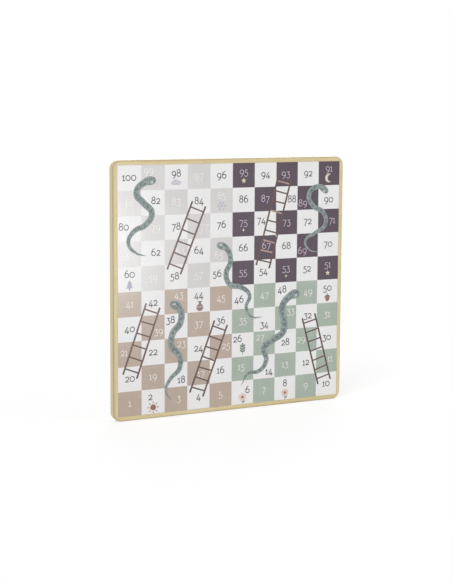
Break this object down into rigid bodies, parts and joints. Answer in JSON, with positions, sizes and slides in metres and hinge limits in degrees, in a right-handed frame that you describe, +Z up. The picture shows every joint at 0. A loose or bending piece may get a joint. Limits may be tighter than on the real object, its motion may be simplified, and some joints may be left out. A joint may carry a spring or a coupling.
{
  "type": "wooden ludo board",
  "caption": "Square, thin, double-faced wooden game board: a mitred light wood frame with rounded corners round two flush printed panels, for ludo and snakes and ladders.",
  "frame": {"origin": "middle of the lower edge that the board stands on, at its lowest point", "axes": "+X to the right along the board's width as the front face is read, +Y through the thickness from the front face to the back face, +Z up along the board's height"},
  "size_m": [0.3, 0.012, 0.3],
  "materials": {
    "rail_wood": "sanded light wood with a thin satin lacquer",
    "printed_panel": "white ground with printed squares, satin",
    "core_board": "raw fibre board",
    "spline_wood": "raw wood"
  },
  "bodies": {
    "root": {"frame_rail_top": "rail_wood", "frame_rail_bottom": "rail_wood", "frame_rail_left": "rail_wood", "frame_rail_right": "rail_wood", "front_game_panel": "printed_panel", "back_game_panel": "printed_panel", "core_slab": "core_board", "mitre_spline_top_left": "spline_wood", "mitre_spline_top_right": "spline_wood", "mitre_spline_bottom_left": "spline_wood", "mitre_spline_bottom_right": "spline_wood"}
  },
  "joints": []
}
